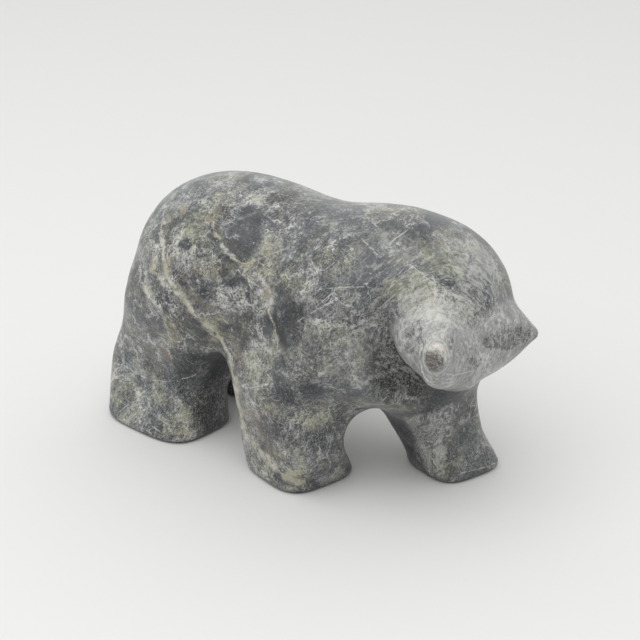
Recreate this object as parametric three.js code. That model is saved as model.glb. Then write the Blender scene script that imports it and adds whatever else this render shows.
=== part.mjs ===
import * as THREE from "three";

// A walking bear carved from one block of soapstone, head turned to its right.
// Millimetres: +X is the way it walks, +Y its left, +Z up, the soles lie on z = 0.

// Trunk masses, each an ellipsoid with its centre and half sizes
const RUMP = { centre: [-42.1, 0.2, 65.4], half: [35, 33.4, 35.8] };
const BARREL = { centre: [-9.1, 4.3, 70.5], half: [50.8, 34, 33.1] };
const SHOULDERS = { centre: [34.5, 3.4, 67.8], half: [33.7, 35.5, 35.3] };

// Neck and head masses, each tapering from one ball to another
const NECK = { from: [50.6, 8.8, 74.2], fromRadius: 27.7, to: [55.8, 13.1, 73.2], toRadius: 27.8 };
const SKULL = { from: [62.9, 5, 73.3], fromRadius: 19, to: [68.2, -7.8, 70.5], toRadius: 13.2 };
const MUZZLE = { from: [71.0, -7.0, 78.4], fromRadius: 7.2, to: [80.1, -19.7, 69.2], toRadius: 5.7 };
const CHIN = { from: [71.5, -4.5, 66.3], fromRadius: 10.1, to: [77.8, -14.7, 61.7], toRadius: 6.4 };
const JAW = { from: [74.4, -0.1, 61], fromRadius: 12.8, to: [81.3, 14.1, 65.8], toRadius: 8.2 };
const EAR = { from: [73.3, 14.2, 66.8], fromRadius: 16.8, to: [92.8, 20.9, 68.3], toRadius: 2.6 };

// The hollow the carver cut between the right shoulder and the cheek
const CHEEK_HOLLOW = { from: [60, -26, 74], fromRadius: 7, to: [64, -30, 62], toRadius: 11 };

// The undercut that sets the head off from the chest, down the cheek and then under the chin
const THROAT_HOLLOW = [
  { from: [57.8, -20.0, 68.8], fromRadius: 4, to: [61.9, -14.4, 57.7], toRadius: 8 },
  { from: [61.9, -14.4, 57.7], fromRadius: 8, to: [71.3, -8.3, 47.4], toRadius: 9 },
];

// The arch cut under the belly, right across from side to side
const BELLY_ARCH = { centre: [-19.4, 3, 18], half: [11, 300, 24] };

// Legs, each a squarish column: height, centre x, centre y, half length, half width
const RIGHT_HIND = {
  turn: -0.038,
  stations: [
    [0, -56.7, -19.1, 24.6, 18.7],
    [20, -60.4, -14.2, 26.9, 14],
    [40, -54.2, -13.2, 24.2, 16.9],
    [60, -46, -14, 22, 18],
  ],
};
const LEFT_HIND = {
  turn: -0.1,
  stations: [[0, -60, 24.5, 22, 12.5], [20, -58.5, 24.5, 21, 12.5], [60, -46, 18, 22, 16]],
};
const RIGHT_FORE = {
  turn: -0.218,
  stations: [
    [0, 14, -17.3, 18.4, 17.6],
    [18, 11.6, -20.5, 23.6, 14.3],
    [40, 10.3, -16.1, 22.3, 19.1],
    [60, 20.2, -11.8, 18.9, 15.9],
  ],
};
const LEFT_FORE = {
  turn: -0.252,
  stations: [
    [0, 57.8, 25.3, 14.9, 15.9],
    [16, 48.7, 24, 18.4, 14.7],
    [35, 41.6, 20.6, 22.4, 19.3],
    [60, 43.5, 13.9, 28.5, 19.3],
  ],
};
const LEG_SQUARENESS = 3.4;
const LEG_TOP_ROUNDING = 10;

// How far each join is eased, the width of the fillet the carver left there
const BACK_EASE = 24;
const SHOULDER_EASE = 20;
const NECK_EASE = 24;
const LEG_EASE = 16;
const BETWEEN_LEGS_EASE = 5;
const CHEEK_HOLLOW_EASE = 18;
const THROAT_EASE = 12;
const BELLY_ARCH_EASE = 5;
const MUZZLE_EASE = 4;
const CHIN_EASE = 4;
const JAW_EASE = 8;
const EAR_EASE = 6;
const HEAD_EASE = 3.5;

// Stone left standing all over, which the filing and scratching takes off
const FILING_ALLOWANCE = 0.5;

// Facet sizes, finer along the stretch of each axis that holds the head,
// and the block the carving is cut from
const BODY_FACET = 4.85;
const HEAD_FACET = 3;
const HEAD_STRETCH = [[66, 100], [8, 30], [58, 80]];
const HEAD_FADE = 14;
const BLOCK_LOW = [-100, -60, -1.5 * BODY_FACET];
const BLOCK_HIGH = [110, 64, 122];
const SMOOTHING_ROUNDS = 10;
const SMOOTHING_SHARE = 0.6;

const STONE_COLOUR = 0x72746f;
const STONE_ROUGHNESS = 0.55;

const point = (coordinates) => new THREE.Vector3(...coordinates);

// Each mass is a function of a point: negative inside the stone, zero on its skin
function ellipsoid({ centre, half }) {
  const smallest = Math.min(...half);
  return (p) => {
    const offset = [p.x - centre[0], p.y - centre[1], p.z - centre[2]];
    const reach = Math.hypot(...offset.map((o, i) => o / half[i]));
    const slope = Math.hypot(...offset.map((o, i) => o / half[i] ** 2));
    return slope > 0 ? (reach * (reach - 1)) / slope : -smallest;
  };
}

function taper({ from, to, fromRadius, toRadius }) {
  const start = point(from);
  const along = point(to).sub(start);
  const nearest = new THREE.Vector3();
  return (p) => {
    const share = THREE.MathUtils.clamp(nearest.copy(p).sub(start).dot(along) / along.lengthSq(), 0, 1);
    nearest.copy(start).addScaledVector(along, share);
    return nearest.distanceTo(p) - THREE.MathUtils.lerp(fromRadius, toRadius, share);
  };
}

// The skin stretched straight from one ball to a smaller one
function cone({ from, to, fromRadius, toRadius }) {
  const start = point(from);
  const along = point(to).sub(start);
  const length = along.length();
  along.normalize();
  const narrowing = (fromRadius - toRadius) / length;
  const slope = Math.sqrt(1 - narrowing ** 2);
  const offset = new THREE.Vector3();
  return (p) => {
    offset.copy(p).sub(start);
    const ahead = offset.dot(along);
    const out = offset.addScaledVector(along, -ahead).length();
    const foot = THREE.MathUtils.clamp(ahead - (out * narrowing) / slope, 0, length);
    return Math.hypot(out, ahead - foot) - (fromRadius - foot * narrowing);
  };
}

// A smooth run through the values of one station column, level past both ends
function stationCurve(stations, column) {
  const last = stations.length - 1;
  const heights = stations.map((station) => station[0]);
  const values = stations.map((station) => station[column]);
  const slopes = stations.map((_, i) => {
    const below = Math.max(i - 1, 0);
    const above = Math.min(i + 1, last);
    return i === 0 ? 0 : (values[above] - values[below]) / (heights[above] - heights[below]);
  });
  return (height) => {
    if (height <= heights[0]) return values[0];
    if (height >= heights[last]) return values[last];
    const i = heights.findIndex((h) => h > height) - 1;
    const span = heights[i + 1] - heights[i];
    const t = (height - heights[i]) / span;
    const rise = t * t * (3 - 2 * t);
    const leave = t * (1 - t) ** 2 * slopes[i];
    const arrive = t * t * (t - 1) * slopes[i + 1];
    return THREE.MathUtils.lerp(values[i], values[i + 1], rise) + span * (leave + arrive);
  };
}

function leg({ stations, turn }) {
  const [x, y, halfLength, halfWidth] = [1, 2, 3, 4].map((column) => stationCurve(stations, column));
  const top = stations[stations.length - 1][0];
  return (p) => {
    const length = halfLength(p.z);
    const width = halfWidth(p.z);
    const dx = p.x - x(p.z);
    const dy = p.y - y(p.z);
    const ahead = Math.abs(dx * Math.cos(turn) + dy * Math.sin(turn)) / length;
    const aside = Math.abs(dy * Math.cos(turn) - dx * Math.sin(turn)) / width;
    const reach = (ahead ** LEG_SQUARENESS + aside ** LEG_SQUARENESS) ** (1 / LEG_SQUARENESS);
    return cut((reach - 1) * Math.min(length, width), p.z - top, LEG_TOP_ROUNDING);
  };
}

// Two masses run together, or one cut back by another, with an eased edge
function join(a, b, ease) {
  const overlap = Math.max(ease - Math.abs(a - b), 0) / ease;
  return Math.min(a, b) - (overlap * overlap * ease) / 4;
}

function cut(a, b, ease) {
  return -join(-a, -b, ease);
}

const trunkMasses = [[BARREL, BACK_EASE], [SHOULDERS, SHOULDER_EASE]];
const headMasses = [[MUZZLE, MUZZLE_EASE], [CHIN, CHIN_EASE], [JAW, JAW_EASE]];
const rump = ellipsoid(RUMP);
const trunk = trunkMasses.map(([mass, ease]) => [ellipsoid(mass), ease]);
const neck = taper(NECK);
const skull = taper(SKULL);
const face = headMasses.map(([mass, ease]) => [taper(mass), ease]);
const ear = cone(EAR);
const cheekHollow = taper(CHEEK_HOLLOW);
const throatHollow = THROAT_HOLLOW.map(taper);
const bellyArch = ellipsoid(BELLY_ARCH);
const legs = [RIGHT_HIND, LEFT_HIND, RIGHT_FORE, LEFT_FORE].map(leg);

function bear(p) {
  let body = trunk.reduce((sum, [mass, ease]) => join(sum, mass(p), ease), rump(p));
  body = join(body, neck(p), NECK_EASE);
  const standing = legs.map((one) => one(p)).reduce((sum, one) => join(sum, one, BETWEEN_LEGS_EASE));
  body = join(body, standing, LEG_EASE);
  body = cut(body, -cheekHollow(p), CHEEK_HOLLOW_EASE);
  body = cut(body, -bellyArch(p), BELLY_ARCH_EASE);
  body = throatHollow.reduce((sum, hollow) => cut(sum, -hollow(p), THROAT_EASE), body);
  let head = face.reduce((sum, [mass, ease]) => join(sum, mass(p), ease), skull(p));
  head = join(head, ear(p), EAR_EASE);
  return join(body, head, HEAD_EASE) - FILING_ALLOWANCE;
}

// Where the skin lies under a point, one step along the steepest way to it
function settle(p, levelOnly) {
  const step = 0.05;
  const here = bear(p);
  const probe = new THREE.Vector3();
  const slope = new THREE.Vector3();
  for (const axis of levelOnly ? ["x", "y"] : ["x", "y", "z"]) {
    probe.copy(p);
    probe[axis] += step;
    slope[axis] = (bear(probe) - here) / step;
  }
  p.addScaledVector(slope, -here / Math.max(slope.lengthSq(), step));
}

// Grid positions along one axis, closing up over the head
function gridLines(axis) {
  const [start, end] = HEAD_STRETCH[axis];
  const lines = [BLOCK_LOW[axis]];
  let last = BLOCK_LOW[axis];
  while (last < BLOCK_HIGH[axis]) {
    const away = Math.max(start - last, last - end, 0);
    last += THREE.MathUtils.lerp(HEAD_FACET, BODY_FACET, Math.min(away / HEAD_FADE, 1));
    lines.push(last);
  }
  return lines;
}

// Facets over the skin: one corner in each grid box the skin passes through,
// and one four-sided facet across each grid edge it crosses
function facets() {
  const lines = [0, 1, 2].map(gridLines);
  const strides = [1, lines[0].length, lines[0].length * lines[1].length];
  const counts = lines.map((line) => line.length);
  const p = new THREE.Vector3();
  const depth = new Float64Array(counts[0] * counts[1] * counts[2]);
  const eachBox = (visit) => {
    for (let k = 0; k < counts[2] - 1; k += 1) {
      for (let j = 0; j < counts[1] - 1; j += 1) {
        for (let i = 0; i < counts[0] - 1; i += 1) {
          visit([i, j, k], i + j * strides[1] + k * strides[2]);
        }
      }
    }
  };
  depth.fill(1);
  eachBox(([i, j, k], index) => {
    p.set(lines[0][i], lines[1][j], lines[2][k]);
    depth[index] = p.z < 0 ? 1 : bear(p);
  });

  const corners = [];
  const cornerOf = new Map();
  eachBox((at, index) => {
    const sum = [0, 0, 0];
    let crossings = 0;
    for (let vertex = 0; vertex < 8; vertex += 1) {
      for (let axis = 0; axis < 3; axis += 1) {
        if (vertex & (1 << axis)) continue;
        const offset = [0, 1, 2].map((a) => (vertex >> a) & 1);
        const start = index + offset[0] + offset[1] * strides[1] + offset[2] * strides[2];
        const end = start + strides[axis];
        if (depth[start] < 0 === depth[end] < 0) continue;
        const share = depth[start] / (depth[start] - depth[end]);
        for (let a = 0; a < 3; a += 1) {
          const from = lines[a][at[a] + offset[a]];
          const to = lines[a][at[a] + offset[a] + (a === axis ? 1 : 0)];
          sum[a] += THREE.MathUtils.lerp(from, to, share);
        }
        crossings += 1;
      }
    }
    if (crossings === 0) return;
    cornerOf.set(index, corners.length);
    const corner = point(sum.map((s) => s / crossings));
    corners.push({ at: corner, onGround: at[2] === 1 });
  });

  const quads = [];
  eachBox((at, index) => {
    for (let axis = 0; axis < 3; axis += 1) {
      const inside = depth[index] < 0;
      if (inside === depth[index + strides[axis]] < 0) continue;
      const u = strides[(axis + 1) % 3];
      const v = strides[(axis + 2) % 3];
      const ring = [index - u - v, index - v, index, index - u].map((box) => cornerOf.get(box));
      quads.push(inside ? ring : ring.reverse());
    }
  });
  return { corners, quads };
}

// Even out the corners, then bring each back to the skin, the sole or the sole's rim
function smooth(corners, quads) {
  const around = corners.map(() => new Set());
  for (const quad of quads) {
    quad.forEach((corner, i) => {
      const next = quad[(i + 1) % 4];
      around[corner].add(next);
      around[next].add(corner);
    });
  }
  for (const corner of corners) {
    if (corner.onGround) corner.at.z = 0;
  }
  corners.forEach((corner, i) => {
    corner.onRim = corner.onGround && [...around[i]].some((other) => !corners[other].onGround);
  });
  for (let round = 0; round < SMOOTHING_ROUNDS; round += 1) {
    const means = corners.map((corner, i) => {
      const others = [...around[i]].filter((other) => !corner.onRim || corners[other].onRim);
      const mean = new THREE.Vector3();
      others.forEach((other) => mean.add(corners[other].at));
      return mean.divideScalar(others.length);
    });
    corners.forEach((corner, i) => {
      corner.at.lerp(means[i], SMOOTHING_SHARE);
      if (corner.onGround) corner.at.z = 0;
      if (corner.onGround && !corner.onRim) return;
      settle(corner.at, corner.onRim);
      settle(corner.at, corner.onRim);
    });
  }
}

function carve() {
  const { corners, quads } = facets();
  smooth(corners, quads);
  const points = corners.map((corner) => corner.at);
  const triangles = quads.flatMap(([a, b, c, d]) => {
    const shorter = points[a].distanceTo(points[c]) < points[b].distanceTo(points[d]);
    return shorter ? [a, b, c, a, c, d] : [a, b, d, b, c, d];
  });
  const geometry = new THREE.BufferGeometry().setFromPoints(points);
  geometry.setIndex(triangles);
  geometry.computeBoundingBox();
  const middle = geometry.boundingBox.getCenter(new THREE.Vector3());
  geometry.translate(-middle.x, -middle.y, 0);
  geometry.computeVertexNormals();
  return geometry;
}

const stone = new THREE.MeshStandardMaterial({
  color: STONE_COLOUR,
  roughness: STONE_ROUGHNESS,
  metalness: 0,
});
const carving = new THREE.Mesh(carve(), stone);
carving.name = "bear";

const group = new THREE.Group();
group.add(carving);

export default group;
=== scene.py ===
"""Looks of a walking bear carved from one block of soapstone.

The carving's fine skin is cut on the same eased masses as its plain solid, with the muzzle, mouth,
brow, ear and sole edges worked finer. Its stone is mottled blue-grey with cream veins and scratches.
"""
import math

import bmesh
import bpy
import numpy as np
from bpy.props import FloatProperty, FloatVectorProperty, IntProperty, PointerProperty
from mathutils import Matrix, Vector


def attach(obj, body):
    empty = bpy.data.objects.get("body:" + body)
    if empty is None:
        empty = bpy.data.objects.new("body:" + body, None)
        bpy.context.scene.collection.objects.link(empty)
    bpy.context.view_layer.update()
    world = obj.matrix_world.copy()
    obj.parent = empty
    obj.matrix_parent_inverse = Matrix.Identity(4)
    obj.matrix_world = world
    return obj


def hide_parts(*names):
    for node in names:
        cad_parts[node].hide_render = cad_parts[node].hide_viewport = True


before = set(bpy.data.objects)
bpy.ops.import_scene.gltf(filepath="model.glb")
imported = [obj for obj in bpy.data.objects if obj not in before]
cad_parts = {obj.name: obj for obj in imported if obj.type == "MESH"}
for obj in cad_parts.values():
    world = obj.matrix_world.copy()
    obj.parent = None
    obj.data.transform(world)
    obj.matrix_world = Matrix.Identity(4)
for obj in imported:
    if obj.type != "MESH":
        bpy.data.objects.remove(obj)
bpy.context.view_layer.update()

bl_info = {
    "name": "Soapstone bear carving",
    "version": (1, 0, 0),
    "blender": (4, 5, 0),
    "location": "3D View > Sidebar > Bear",
    "description": "Carves the bear's fine skin, gives it its stone, and sets the studio round it",
    "category": "Object",
}

MM = 0.001

# Masses of the carving in millimetres, measured from the middle of the block before it was centred
CENTRING = np.array([3.6985, 3.2599, 0.0])
RUMP = ((-42.1, 0.2, 65.4), (35, 33.4, 35.8))
BARREL = ((-9.1, 4.3, 70.5), (50.8, 34, 33.1))
SHOULDERS = ((34.5, 3.4, 67.8), (33.7, 35.5, 35.3))
NECK = ((50.6, 8.8, 74.2), 27.7, (55.8, 13.1, 73.2), 27.8)
SKULL = ((62.9, 5, 73.3), 19, (68.2, -7.8, 70.5), 13.2)
MUZZLE = ((71.0, -7.0, 78.4), 7.2, (80.1, -19.7, 69.2), 5.7)
CHIN = ((71.5, -4.5, 66.3), 10.1, (77.8, -14.7, 61.7), 6.4)
JAW = ((74.4, -0.1, 61), 12.8, (81.3, 14.1, 65.8), 8.2)
EAR = ((73.3, 14.2, 66.8), 16.8, (92.8, 20.9, 68.3), 2.6)
CHEEK_HOLLOW = ((60, -26, 74), 7, (64, -30, 62), 11)
THROAT_HOLLOW = (((57.8, -20.0, 68.8), 4, (61.9, -14.4, 57.7), 8),
                 ((61.9, -14.4, 57.7), 8, (71.3, -8.3, 47.4), 9))
BELLY_ARCH = ((-19.4, 3, 18), (11, 300, 24))

# Legs: turn about the upright, then height, middle x, middle y, half length and half width up the leg
RIGHT_HIND = (-0.038, ((0, -56.7, -19.1, 24.6, 18.7), (20, -60.4, -14.2, 26.9, 14),
                       (40, -54.2, -13.2, 24.2, 16.9), (60, -46, -14, 22, 18)))
LEFT_HIND = (-0.1, ((0, -60, 24.5, 22, 12.5), (20, -58.5, 24.5, 21, 12.5), (60, -46, 18, 22, 16)))
RIGHT_FORE = (-0.218, ((0, 14, -17.3, 18.4, 17.6), (18, 11.6, -20.5, 23.6, 14.3),
                       (40, 10.3, -16.1, 22.3, 19.1), (60, 20.2, -11.8, 18.9, 15.9)))
LEFT_FORE = (-0.252, ((0, 57.8, 25.3, 14.9, 15.9), (16, 48.7, 24, 18.4, 14.7),
                      (35, 41.6, 20.6, 22.4, 19.3), (60, 43.5, 13.9, 28.5, 19.3)))
LEG_SQUARENESS = 3.4
LEG_TOP_ROUNDING = 10

# How softly each mass eases into the next, in millimetres
BACK_EASE = 24
SHOULDER_EASE = 20
NECK_EASE = 24
LEG_EASE = 16
BETWEEN_LEGS_EASE = 5
CHEEK_HOLLOW_EASE = 18
MUZZLE_EASE = 4
BELLY_ARCH_EASE = 5
CHIN_EASE = 4
JAW_EASE = 8
EAR_EASE = 6
HEAD_EASE = 3.5
THROAT_EASE = 12

# Stone the plain solid has all over, which the filing takes off
FILING_ALLOWANCE = 0.5

# Finer cuts: path in millimetres from the middle of the finished carving, depth, and half width
FINE_CUTS = {
    "mouth": (((80.6, -23.2, 64.1), (80.9, -20.0, 62.7), (81.4, -17.0, 61.7), (81.8, -13.9, 61.3),
               (82.5, -10.5, 61.2)), 0.6, 0.6),
    "lip": (((70.3, -24.9, 66.1), (70.7, -24.5, 63.3), (72.0, -24.6, 61.0), (73.3, -24.3, 59.3)), 0.4, 0.6),
    "nose_rim": (((81.7, -23.4, 71.6), (82.0, -24.7, 69.0), (80.9, -25.6, 66.6), (78.8, -26.5, 65.4),
                  (77.2, -27.9, 66.3), (75.7, -28.7, 68.5), (74.3, -27.9, 70.9), (74.0, -26.6, 73.5),
                  (74.7, -25.0, 75.5), (76.3, -23.6, 76.3), (78.3, -22.6, 75.7), (80.2, -22.4, 73.9),
                  (81.7, -23.4, 71.6)), 0.4, 0.55),
    "muzzle_left": (((67.0, -22.0, 79.2), (69.5, -24.6, 74.6), (71.9, -27.0, 70.4)), 0.6, 1.1),
    "muzzle_right": (((76.9, -12.8, 78.9), (79.2, -17.1, 74.9), (81.2, -22.1, 72.7)), 0.35, 1.3),
    "brow": (((67.3, -21.2, 80.2), (69.2, -19.2, 82.1), (71.4, -16.9, 82.8), (73.9, -14.9, 82.2),
              (76.0, -13.0, 80.2), (77.6, -11.4, 77.5)), 0.25, 0.9),
    "left_eye": (((64.0, -23.2, 76.8), (64.4, -24.1, 74.5)), 0.7, 2.4),
    "right_eye": (((78.5, -14.3, 76.0), (79.1, -13.8, 74.5)), 0.4, 1.8),
    "ear_hollow": (((83.6, -2.5, 68.3), (85.2, 1.4, 68.9), (87.0, 5.7, 69.1), (88.9, 10.0, 69.3)), 2.0, 4.2),
    "ear_slit": (((84.3, 0.8, 70.6), (83.8, -0.4, 69.4), (83.9, -1.5, 68.0)), 0.5, 0.9),
}

# Making of the fine skin: the face worked finer, the rounds of settling, and the step that feels the slope
FACE_PATCH = ((78.2, -16.8, 67.0), 17)
DIVISIONS = 2
SETTLE_ROUNDS = 5
PROBE = 0.05
LEAST_SLOPE = 0.05

# Heights between which the relief fades out towards the soles, in millimetres
RELIEF_FADE = (0.5, 4)

# Veins run through the block along this direction, so they come out on the far side too
VEIN_SLOPE = (0.587, -0.700, 0.407)
VEINS = {
    "haunch_vein": (
        (-53.2, -29.0, 90.7), (-50.3, -32.7, 86.6), (-47.1, -35.6, 82.4), (-44.5, -37.3, 78.6),
        (-40.5, -38.8, 73.9), (-35.4, -39.8, 70.1), (-30.0, -39.9, 66.6), (-25.1, -39.2, 61.9),
        (-21.6, -37.4, 58.5), (-17.5, -34.8, 53.5), (-11.5, -35.2, 45.1), (-9.4, -36.5, 40.2),
        (-8.1, -37.0, 32.7), (-7.1, -36.6, 25.5), (-5.4, -36.3, 18.1), (1.5, -37.3, 13.0),
        (12.9, -39.7, 10.2), (22.4, -39.0, 6.4)),
    "belly_wedge": ((2.4, -32.1, 81.1), (8.5, -34.0, 76.2), (7.8, -35.0, 71.5), (11.3, -36.2, 67.6),
                    (12.8, -36.9, 62.2)),
    "rump_streak": ((-51.4, -37.3, 74.3), (-46.1, -38.8, 72.4), (-41.3, -39.9, 69.8)),
    "thigh_streak": ((-52.3, -39.7, 65.5), (-46.2, -41.0, 61.2), (-42.1, -40.9, 56.8), (-41.3, -38.4, 46.7)),
    "patch_edge": ((-30.5, -22.6, 99.6), (-27.5, -26.4, 96.1), (-22.9, -29.2, 92.3), (-18.0, -30.6, 89.1),
                   (-13.0, -31.2, 86.5)),
    "patch_foot": ((-13.0, -31.2, 86.5), (-8.2, -30.9, 85.2), (-1.1, -28.0, 89.0), (7.4, -24.6, 93.7)),
}
HAIRLINES = (
    ((35.2, -16.3, 103.2), (43.3, -18.5, 100.9), (50.8, -20.4, 96.9)),
    ((47.7, -12.7, 103.3), (49.2, -5.8, 105.5)),
    ((31.0, -32.6, 86.2), (39.5, -30.6, 88.6), (46.5, -27.5, 89.5)),
    ((21.2, -26.6, 93.8), (28.1, -30.3, 90.1), (29.4, -34.2, 82.8)),
    ((32.0, -26.6, 95.0), (28.1, -30.3, 90.1), (23.9, -32.1, 86.5)),
    ((24.7, -36.5, 73.6), (32.2, -35.2, 79.6), (38.8, -32.5, 84.8)),
    ((-76.4, -31.1, 21.3), (-66.9, -31.8, 20.4), (-60.7, -32.0, 20.6), (-52.0, -31.9, 22.4),
     (-45.2, -31.2, 24.8), (-37.1, -29.4, 28.9)),
    ((66.4, 11.9, 4.2), (68.7, 19.4, 3.5), (70.0, 29.3, 2.4)),
    FINE_CUTS["mouth"][0],
    FINE_CUTS["lip"][0])

# Patches of the stone, with painted shade, painted shadow, painted light and painted glints among them:
# middle, reach and strength
# Some dark patches are painted shade: those in the ear hollow and the ear slit, along the creases beside the
# muzzle, on the right hind leg's front under the belly, and low on the left fore leg towards the belly. The
# rest are the stone's own dark patches.
DARK_PATCHES_AND_PAINTED_SHADE = (
    ((-17.7, -26.3, 94.4), 9, 1.2), ((-14.7, -21.7, 97.8), 7, 0.7), ((-25.6, -23.3, 98.5), 5, 0.8),
    ((-11.7, -28.6, 90.1), 6, 0.5), ((-35.8, -34.1, 86.9), 3, 0.9), ((-33.2, -38.4, 74.9), 3, 0.8),
    ((-22.4, -37.7, 71.3), 2.6, 0.8), ((-12.4, -6.5, 104.2), 4, 0.7), ((-10.8, 0.4, 104.7), 4, 0.6),
    ((18.5, -36.5, 70.6), 7, 1.1), ((20.8, -35.8, 74.6), 5, 0.6), ((15.9, -37.0, 66.4), 6, 0.6),
    ((-35.7, -33.4, 37.0), 6, 0.5), ((-32.0, -21.4, 32.4), 11, 1.1), ((-38.7, -28.1, 23.9), 8, 0.9),
    ((-36.6, -16.1, 13.1), 11, 1.1), ((-35.8, -20.2, 6.7), 8, 0.6), ((37.4, 5.3, 19.3), 9, 1.0),
    ((40.3, 7.6, 11.4), 8, 0.7), ((29.0, -36.0, 46.4), 7, 0.5), ((30.1, -31.6, 24.1), 8, 0.4),
    ((-42.0, -40.5, 57.0), 5, 0.4), ((86.0, 3.5, 69.2), 3.5, 0.9), ((88.0, 8.0, 69.4), 4, 0.9),
    ((90.0, 12.5, 69.5), 3.5, 0.7), ((84.0, -0.2, 69.4), 2.2, 1.2), ((67.0, -22.0, 79.2), 1.6, 0.8),
    ((69.5, -24.6, 74.6), 1.5, 1.0), ((71.9, -27.0, 70.4), 1.5, 0.9), ((79.2, -17.1, 74.9), 1.6, 0.7),
    ((80.4, -19.6, 73.8), 1.4, 0.6), ((82.1, -10.9, 65.7), 4, 0.35), ((83.6, -6.5, 62.6), 4, 0.4),
    ((64.4, -23.6, 75.9), 2.4, 0.9), ((64.9, -24.7, 69.8), 2.6, 0.8), ((68.4, -22.0, 78.8), 1.6, 0.7))
# Painted shadow that the head casts on the chest and throat below it: middle, reach and strength
PAINTED_CHEST_SHADOW = (
    ((48.4, -15.7, 61.6), 6, 0.8), ((48.8, -13.1, 55.1), 7, 0.8), ((51.6, -11.1, 50.7), 7, 0.8),
    ((55.2, -9.0, 47.4), 7, 0.8), ((60.8, -3.2, 40.7), 7, 0.6), ((63.6, 1.9, 38.8), 6, 0.4),
    ((47.0, -18.6, 57.0), 6, 0.5), ((49.5, -15.6, 50.1), 7, 0.5), ((53.9, -12.7, 44.6), 7, 0.5),
    ((57.5, -7.5, 39.6), 7, 0.5), ((49.5, -20.3, 44.9), 7, 0.4))
# Some pale patches are painted light: those on the left fore leg are painted light, and those on the neck
# behind the ear are a painted reflection. The rest are the stone's own pale clouds.
PALE_PATCHES_AND_PAINTED_LIGHT = (
    ((-42.1, -32.0, 90.1), 4, 0.8), ((-33.1, -36.0, 82.8), 4, 0.8), ((-40.7, -35.9, 83.3), 3, 0.6),
    ((-10.3, -35.1, 71.4), 6, 0.8), ((-14.6, -36.0, 72.1), 4, 0.4), ((-3.7, -34.4, 71.3), 4, 0.4),
    ((53.3, 0.1, 25.5), 7, 0.8), ((53.3, 3.6, 17.6), 8, 0.9), ((54.9, 4.9, 11.0), 7, 0.8),
    ((60.0, 7.0, 30.0), 8, 0.5),
    ((70.0, -13.3, 86.3), 9, 0.5), ((62.9, -20.1, 82.8), 8, 0.7), ((76.3, -6.7, 81.3), 8, 0.5),
    ((-65.1, -33.8, 15.3), 9, 0.4), ((67.6, 7.6, 98.4), 12, 0.6), ((75.5, 9.4, 90.2), 9, 0.6),
    ((78.9, -20.0, 59.4), 4, 0.6),
    ((24.0, -29.0, 91.0), 4, 0.6), ((27.0, -32.0, 86.0), 4, 0.5), ((-52.0, -39.0, 66.0), 3, 0.6))
OLIVE_CLOUDS = (
    ((17.7, -33.2, 82.4), 6, 0.8), ((12.8, -31.5, 84.9), 4, 0.5), ((-12.4, -6.5, 104.2), 5, 0.9),
    ((-26.0, -35.7, 81.7), 6, 0.5), ((1.3, -35.2, 62.3), 8, 0.7), ((29.3, -25.0, 96.6), 6, 0.4),
    ((-32.4, -40.3, 56.4), 8, 0.7), ((8.9, -40.3, 37.4), 7, 0.5))
TAN_SPOTS = (
    ((-30.5, -25.9, 96.8), 3, 0.7), ((-44.8, -25.6, 96.7), 4, 0.5), ((33.2, -31.4, 88.4), 1.2, 0.7),
    ((-31.8, -39.6, 69.4), 2.6, 0.7), ((-9.1, -34.9, 46.6), 2.4, 0.7), ((-7.2, -36.7, 37.1), 2.8, 0.7),
    ((5.5, -33.0, 77.5), 2.6, 0.6), ((77.6, -24.9, 62.0), 2.4, 0.6), ((-43.0, -38.2, 76.5), 2, 0.5))
RUST_SPOTS = (
    ((-48.2, -35.9, 38.5), 1.8, 0.8), ((-46.8, -35.1, 36.4), 1.8, 0.7), ((-46.8, -34.2, 33.9), 1.6, 0.6))
# Cream chips and spots, with two painted glints in the ear hollow by the ear slit
CREAM_SPOTS_AND_PAINTED_GLINTS = (
    ((19.2, -40.0, 7.4), 3.5, 0.8), ((24.8, -37.2, 6.0), 3.5, 0.8), ((23.0, -39.6, 10.3), 3, 0.6),
    ((-51.0, -37.4, 74.0), 2.6, 0.7), ((-52.5, -39.6, 65.8), 2, 0.7), ((83.1, -3.7, 67.8), 1.1, 0.9),
    ((85.6, 0.0, 63.2), 1.1, 0.9), ((10.2, -36.8, 56.1), 1.2, 1.0))
# Nose pad: middle, half width, half height, and how near a point must lie to belong to it
NOSE = ((78.2, -26.2, 71.2), 4.6, 6.0, 12)

# Ahead of this place the neck, chest and head are sanded smoother, over this many millimetres
SANDED_FROM = 28
SANDED_OVER = 22

# Heights between which the legs' sanding gives way to the face's, and the reach of the face's
LEG_TOP = 42
LEG_TOP_FADE = 10
FACE_REACH = 57
FACE_FADE = 30

# Turning axis of the sanding round the face
FACE_MIDDLE = (76.2, -20.8, 69.0)
FACE_AXIS = (0.612, -0.77, -0.175)

# How far from their drawn lines veins and hairlines are followed, in millimetres
VEIN_REACH = 5
HAIRLINE_REACH = 1.5
HAIRLINE_DEPTH = 4

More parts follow.
